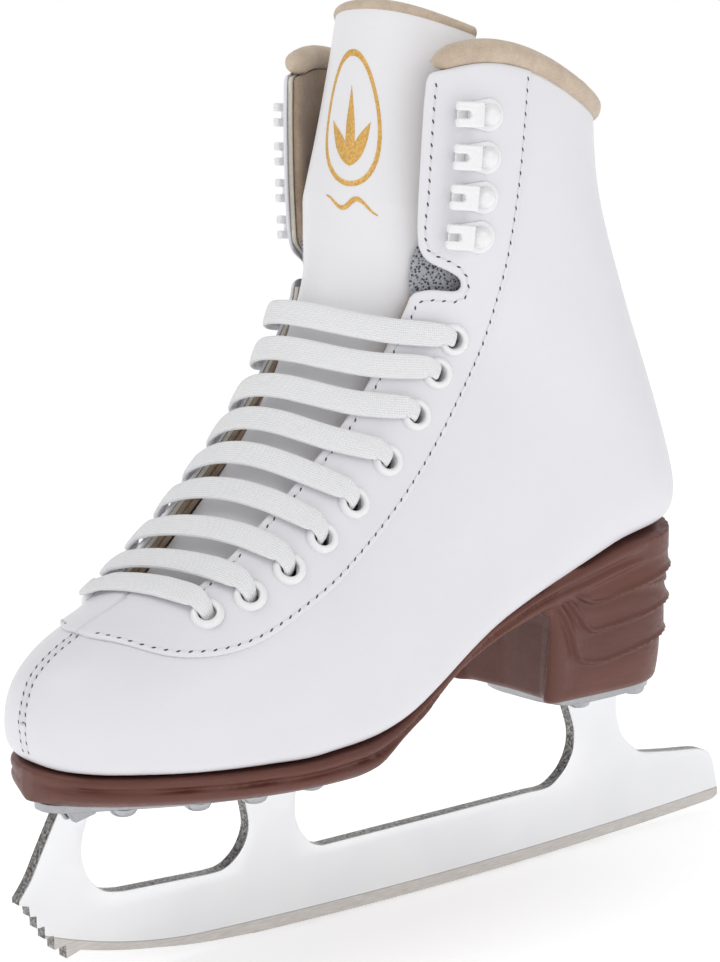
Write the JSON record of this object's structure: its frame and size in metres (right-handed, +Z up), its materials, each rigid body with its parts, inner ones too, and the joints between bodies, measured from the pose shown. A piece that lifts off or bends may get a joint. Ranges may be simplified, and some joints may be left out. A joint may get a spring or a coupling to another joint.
{
  "type": "figure skate",
  "caption": "Laced figure skate boot with hook flaps, padded collar, high tongue, heeled unit sole and a toe-pick blade on screwed plates.",
  "frame": {"origin": "the middle of the blade's running edge, where it stands on the ice", "axes": "+X to the lateral side of the left foot, +Y to the heel, +Z up the leg; the toe points along -Y"},
  "size_m": [0.0878, 0.2589, 0.2484],
  "materials": {
    "blade_steel": "polished sides with a ground running strip",
    "screw_steel": "satin",
    "sole_brown": "moulded, semi-matt",
    "white_enamel": "gloss enamel",
    "lace_white": "flat woven",
    "lining_beige": "brushed",
    "collar_suede": "suede",
    "gusset_mesh": "open mesh",
    "white_leather": "smooth, semi-gloss"
  },
  "bodies": {
    "boot": {"blade": "blade_steel", "sole_plate": "blade_steel", "heel_plate": "blade_steel", "sole_screw_1": "screw_steel", "sole_screw_2": "screw_steel", "sole_screw_3": "screw_steel", "sole_screw_4": "screw_steel", "sole_screw_5": "screw_steel", "sole_screw_6": "screw_steel", "sole_screw_7": "screw_steel", "sole_screw_8": "screw_steel", "heel_screw_1": "screw_steel", "heel_screw_2": "screw_steel", "heel_screw_3": "screw_steel", "heel_screw_4": "screw_steel", "outsole": "sole_brown", "lateral_quarter": "white_leather", "lateral_facing": "white_leather", "lateral_gusset": "gusset_mesh", "lateral_eyelet_1": "white_enamel", "lateral_eyelet_2": "white_enamel", "lateral_eyelet_3": "white_enamel", "lateral_eyelet_4": "white_enamel", "lateral_eyelet_5": "white_enamel", "lateral_eyelet_6": "white_enamel", "lateral_eyelet_7": "white_enamel", "lateral_eyelet_8": "white_enamel", "lateral_eyelet_9": "white_enamel", "medial_quarter": "white_leather", "medial_facing": "white_leather", "medial_gusset": "gusset_mesh", "medial_eyelet_1": "white_enamel", "medial_eyelet_2": "white_enamel", "medial_eyelet_3": "white_enamel", "medial_eyelet_4": "white_enamel", "medial_eyelet_5": "white_enamel", "medial_eyelet_6": "white_enamel", "medial_eyelet_7": "white_enamel", "medial_eyelet_8": "white_enamel", "medial_eyelet_9": "white_enamel", "lining": "lining_beige", "footbed": "lining_beige", "back_stay": "white_leather", "collar_pad": "collar_suede", "tongue_lower": "white_leather", "lace": "lace_white"},
    "tongue": {"tongue_upper": "white_leather"},
    "lateral_flap_body": {"lateral_flap": "white_leather", "lateral_flap_pad": "collar_suede", "lateral_hook_1": "white_enamel", "lateral_hook_2": "white_enamel", "lateral_hook_3": "white_enamel", "lateral_hook_4": "white_enamel"},
    "medial_flap_body": {"medial_flap": "white_leather", "medial_flap_pad": "collar_suede", "medial_hook_1": "white_enamel", "medial_hook_2": "white_enamel", "medial_hook_3": "white_enamel", "medial_hook_4": "white_enamel"}
  },
  "joints": [
    {"name": "tongue_tilt", "type": "hinge", "parent": "boot", "child": "tongue", "pos_m": [0, -0.0452, 0.1805], "axis": [1, 0, 0], "range_deg": [0, 20], "stiffness_Nm_per_rad": 0.3},
    {"name": "lateral_flap_open", "type": "hinge", "parent": "boot", "child": "lateral_flap_body", "pos_m": [0.03815, -0.0135, 0.17474], "axis": [0.0614, 0.121, 0.9908], "range_deg": [0, 45], "stiffness_Nm_per_rad": 0.08},
    {"name": "medial_flap_open", "type": "hinge", "parent": "boot", "child": "medial_flap_body", "pos_m": [-0.03815, -0.0135, 0.17474], "axis": [-0.0614, 0.121, 0.9908], "range_deg": [-45, 0], "stiffness_Nm_per_rad": 0.08}
  ],
  "couplings": [
    {"joint": "lateral_flap_open", "follows": "tongue_tilt", "ratio": 2.2},
    {"joint": "medial_flap_open", "follows": "tongue_tilt", "ratio": -2.2}
  ]
}
